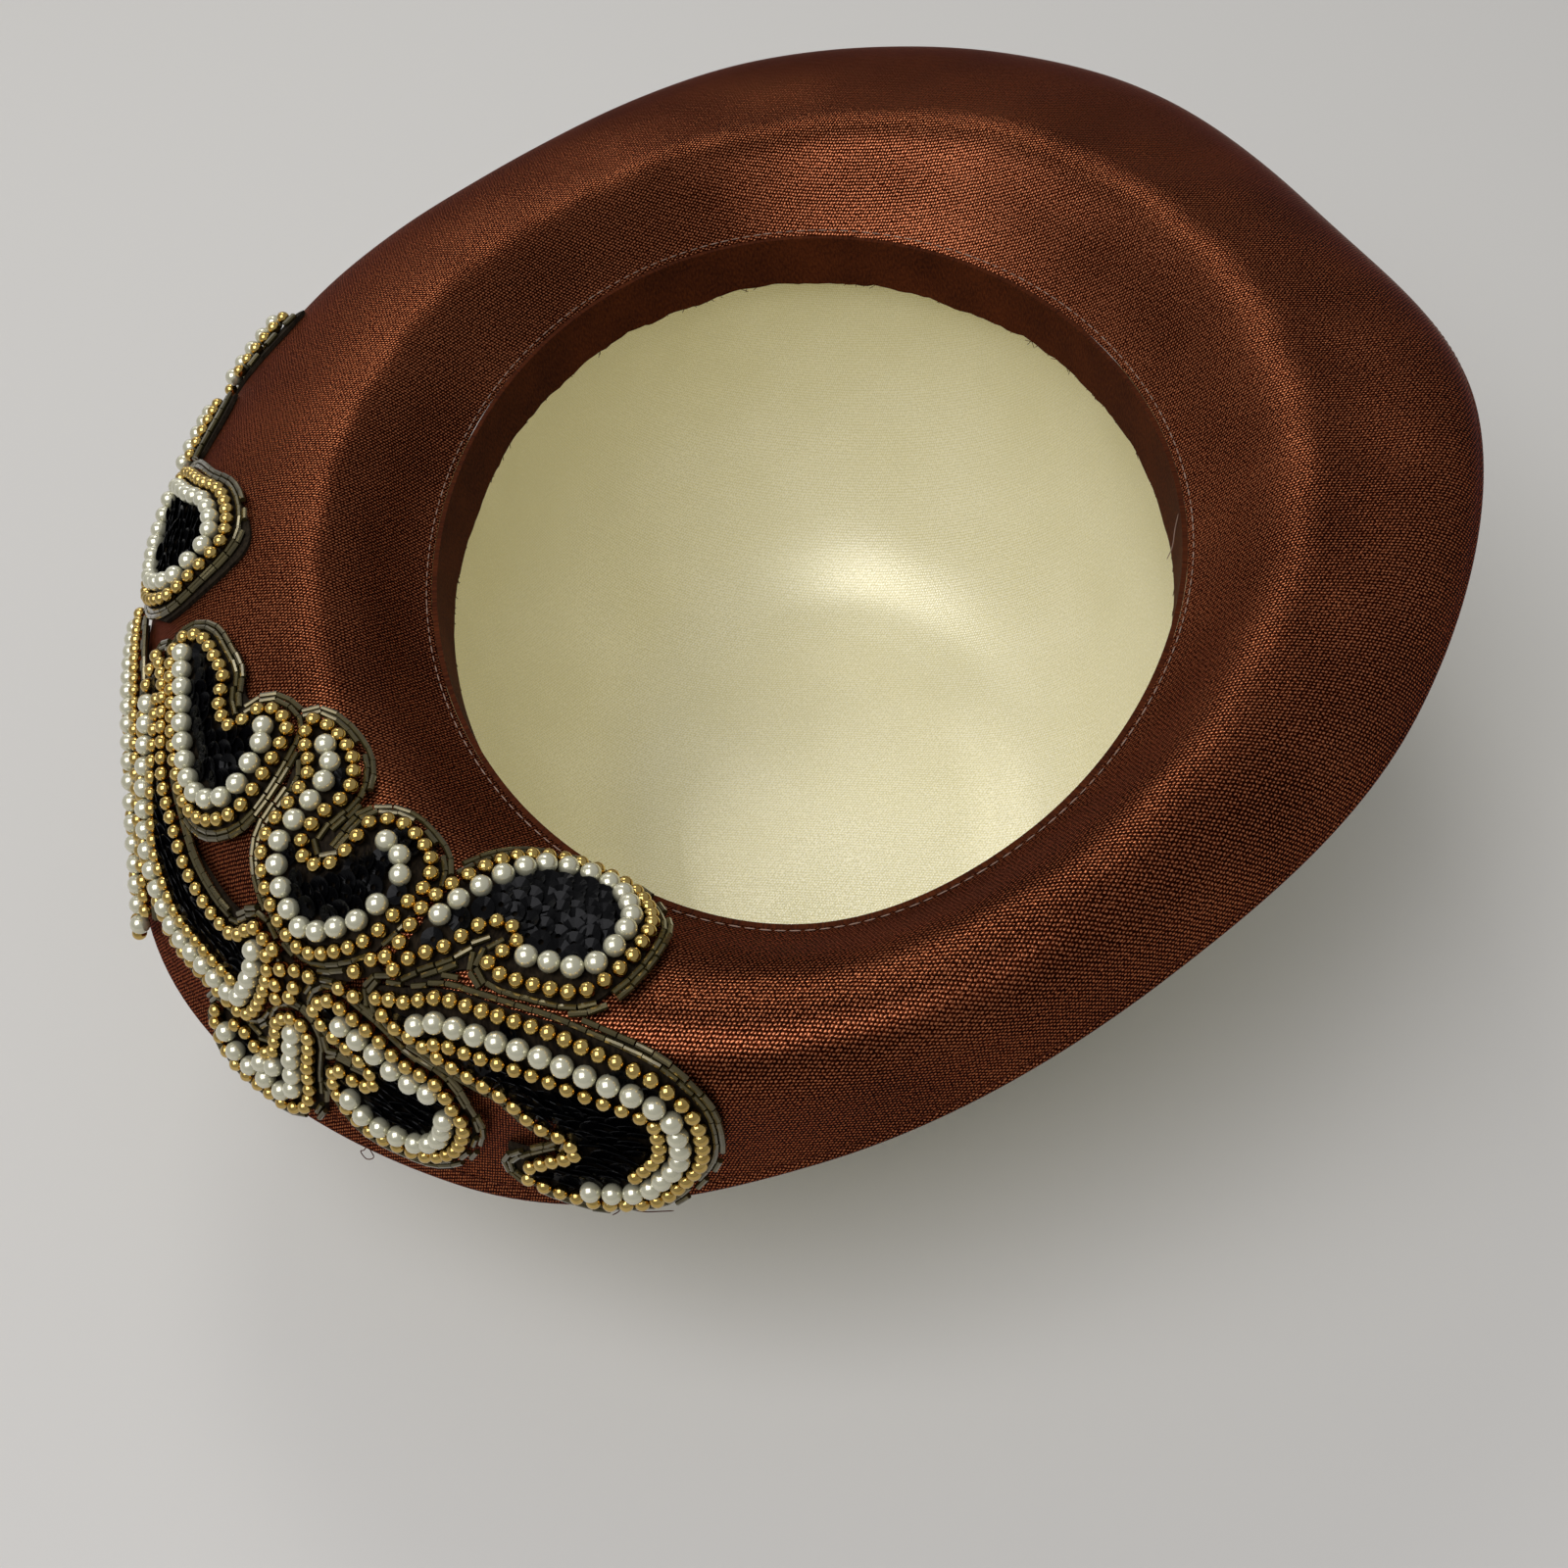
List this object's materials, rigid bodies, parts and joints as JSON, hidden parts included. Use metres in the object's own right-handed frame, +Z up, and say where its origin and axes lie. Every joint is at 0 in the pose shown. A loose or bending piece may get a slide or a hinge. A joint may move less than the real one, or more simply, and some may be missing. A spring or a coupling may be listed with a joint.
{
  "type": "church hat",
  "caption": "Women's satin church hat lying crown down, with a cream crown, a brown brim rolled down at the front and a pearl and gold bead applique.",
  "frame": {"origin": "centre of the flattened crown tip, on the surface the hat lies on", "axes": "+Z up towards the head opening, with the hat lying upside down; -Y towards the wearer's front, -X towards the wearer's left"},
  "size_m": [0.2846, 0.313, 0.1247],
  "materials": {
    "cream_satin": "satin",
    "brown_satin": "satin",
    "brown_cloth": "matte",
    "beadwork": "pearl and gold"
  },
  "bodies": {
    "root": {"crown": "cream_satin", "brim": "brown_satin", "head_band": "brown_cloth", "applique_heart_left": "beadwork", "applique_heart_right": "beadwork", "applique_leaf_upper": "beadwork", "applique_leaf_lower": "beadwork", "applique_leaf_small": "beadwork", "applique_leaf_edge": "beadwork", "applique_stem": "beadwork", "applique_strand": "beadwork", "applique_loop": "beadwork", "applique_tip_lower": "beadwork", "applique_tip_upper": "beadwork", "applique_knot": "beadwork"}
  },
  "joints": []
}
